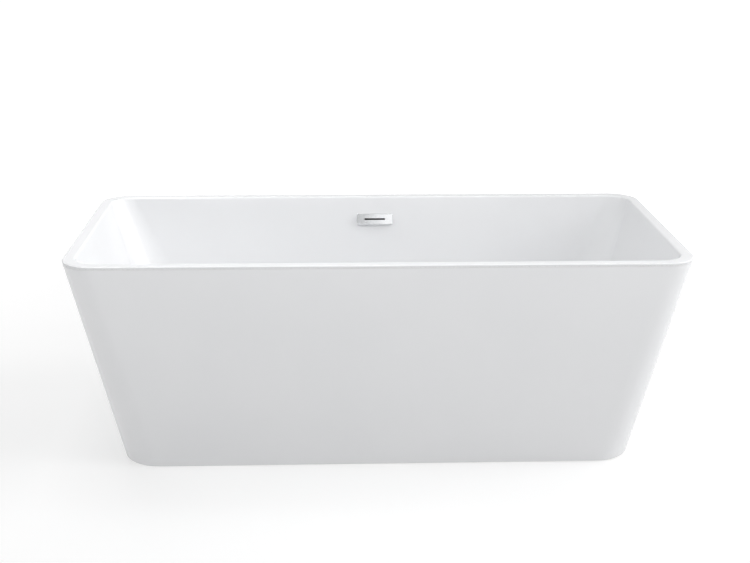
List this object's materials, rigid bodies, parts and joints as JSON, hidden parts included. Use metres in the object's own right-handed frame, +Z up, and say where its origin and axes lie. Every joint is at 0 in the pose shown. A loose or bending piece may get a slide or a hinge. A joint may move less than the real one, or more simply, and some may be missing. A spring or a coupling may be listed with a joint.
{
  "type": "freestanding bathtub",
  "caption": "Freestanding rectangular bathtub with straight tapered walls, rounded corners, slotted chrome overflow, click-clack drain and levelling feet.",
  "frame": {"origin": "on the floor, under the middle of the tub, where the rubber soles stand", "axes": "+X along the length, +Y to the side with the overflow, +Z up"},
  "size_m": [1.6, 0.75, 0.58],
  "materials": {
    "white_acrylic": "polished cast acrylic on reinforced backing",
    "bonding_paste": "cured white adhesive",
    "particle_board": "raw particle board",
    "frame_steel": "galvanised square tube",
    "zinc_steel": "zinc plated",
    "chrome": "mirror polished",
    "brass": "machined",
    "black_rubber": "matt",
    "black_plastic": "moulded, fine grain",
    "white_plastic": "satin",
    "grey_hose": "corrugated, satin"
  },
  "bodies": {
    "tub": {"base_board": "particle_board", "basin": "white_acrylic", "board_screw_1": "zinc_steel", "board_screw_2": "zinc_steel", "board_screw_3": "zinc_steel", "board_screw_4": "zinc_steel", "board_screw_5": "zinc_steel", "board_screw_6": "zinc_steel", "board_screw_7": "zinc_steel", "board_screw_8": "zinc_steel", "crossbar_1": "frame_steel", "crossbar_2": "frame_steel", "crossbar_3": "frame_steel", "crossbar_4": "frame_steel", "drain_flange": "chrome", "drain_flange_seal": "black_rubber", "drain_lower_gasket": "black_rubber", "drain_shoe": "black_plastic", "foot_frame_nut_1": "zinc_steel", "foot_frame_nut_2": "zinc_steel", "foot_frame_nut_3": "zinc_steel", "foot_frame_nut_4": "zinc_steel", "foot_lock_nut_1": "zinc_steel", "foot_lock_nut_2": "zinc_steel", "foot_lock_nut_3": "zinc_steel", "foot_lock_nut_4": "zinc_steel", "hose_clamp_lower": "zinc_steel", "hose_clamp_upper": "zinc_steel", "outer_skirt": "white_acrylic", "overflow_body": "black_plastic", "overflow_bracket": "black_plastic", "overflow_cover": "chrome", "overflow_front_gasket": "black_rubber", "overflow_hose": "grey_hose", "overflow_rear_gasket": "black_rubber", "overflow_screw_left": "zinc_steel", "overflow_screw_right": "zinc_steel", "rail_back": "frame_steel", "rail_front": "frame_steel", "rim_bond_bead": "bonding_paste", "stopper_cartridge": "brass", "stopper_spring": "zinc_steel", "tail_nut": "black_plastic", "tail_pipe": "white_plastic", "tail_washer": "black_rubber"},
    "stopper": {"stopper_cap": "chrome", "stopper_seal": "black_rubber", "stopper_plunger": "zinc_steel"},
    "foot_1": {"foot_sole_1": "black_rubber", "foot_pad_1": "black_plastic"},
    "stem_1": {"foot_stem_1": "zinc_steel"},
    "foot_2": {"foot_sole_2": "black_rubber", "foot_pad_2": "black_plastic"},
    "stem_2": {"foot_stem_2": "zinc_steel"},
    "foot_3": {"foot_sole_3": "black_rubber", "foot_pad_3": "black_plastic"},
    "stem_3": {"foot_stem_3": "zinc_steel"},
    "foot_4": {"foot_sole_4": "black_rubber", "foot_pad_4": "black_plastic"},
    "stem_4": {"foot_stem_4": "zinc_steel"}
  },
  "joints": [
    {"name": "stopper_lift", "type": "slide", "parent": "tub", "child": "stopper", "axis": [0, 0, 1], "range_m": [0, 0.009], "deforming": ["stopper_spring"]},
    {"name": "foot_1_extend", "type": "slide", "parent": "tub", "child": "foot_1", "axis": [0, 0, -1], "range_m": [-0.003, 0.017]},
    {"name": "stem_1_turn", "type": "hinge", "parent": "foot_1", "child": "stem_1", "pos_m": [-0.47, -0.205, 0.06], "axis": [0, 0, -1], "range_deg": [-617.5, 3498]},
    {"name": "foot_2_extend", "type": "slide", "parent": "tub", "child": "foot_2", "axis": [0, 0, -1], "range_m": [-0.003, 0.017]},
    {"name": "stem_2_turn", "type": "hinge", "parent": "foot_2", "child": "stem_2", "pos_m": [0.47, -0.205, 0.06], "axis": [0, 0, -1], "range_deg": [-617.5, 3498]},
    {"name": "foot_3_extend", "type": "slide", "parent": "tub", "child": "foot_3", "axis": [0, 0, -1], "range_m": [-0.003, 0.017]},
    {"name": "stem_3_turn", "type": "hinge", "parent": "foot_3", "child": "stem_3", "pos_m": [-0.47, 0.205, 0.06], "axis": [0, 0, -1], "range_deg": [-617.5, 3498]},
    {"name": "foot_4_extend", "type": "slide", "parent": "tub", "child": "foot_4", "axis": [0, 0, -1], "range_m": [-0.003, 0.017]},
    {"name": "stem_4_turn", "type": "hinge", "parent": "foot_4", "child": "stem_4", "pos_m": [0.47, 0.205, 0.06], "axis": [0, 0, -1], "range_deg": [-617.5, 3498]}
  ],
  "couplings": [
    {"joint": "stem_1_turn", "follows": "foot_1_extend", "rad_per_m": 3590.4},
    {"joint": "stem_2_turn", "follows": "foot_2_extend", "rad_per_m": 3590.4},
    {"joint": "stem_3_turn", "follows": "foot_3_extend", "rad_per_m": 3590.4},
    {"joint": "stem_4_turn", "follows": "foot_4_extend", "rad_per_m": 3590.4}
  ]
}
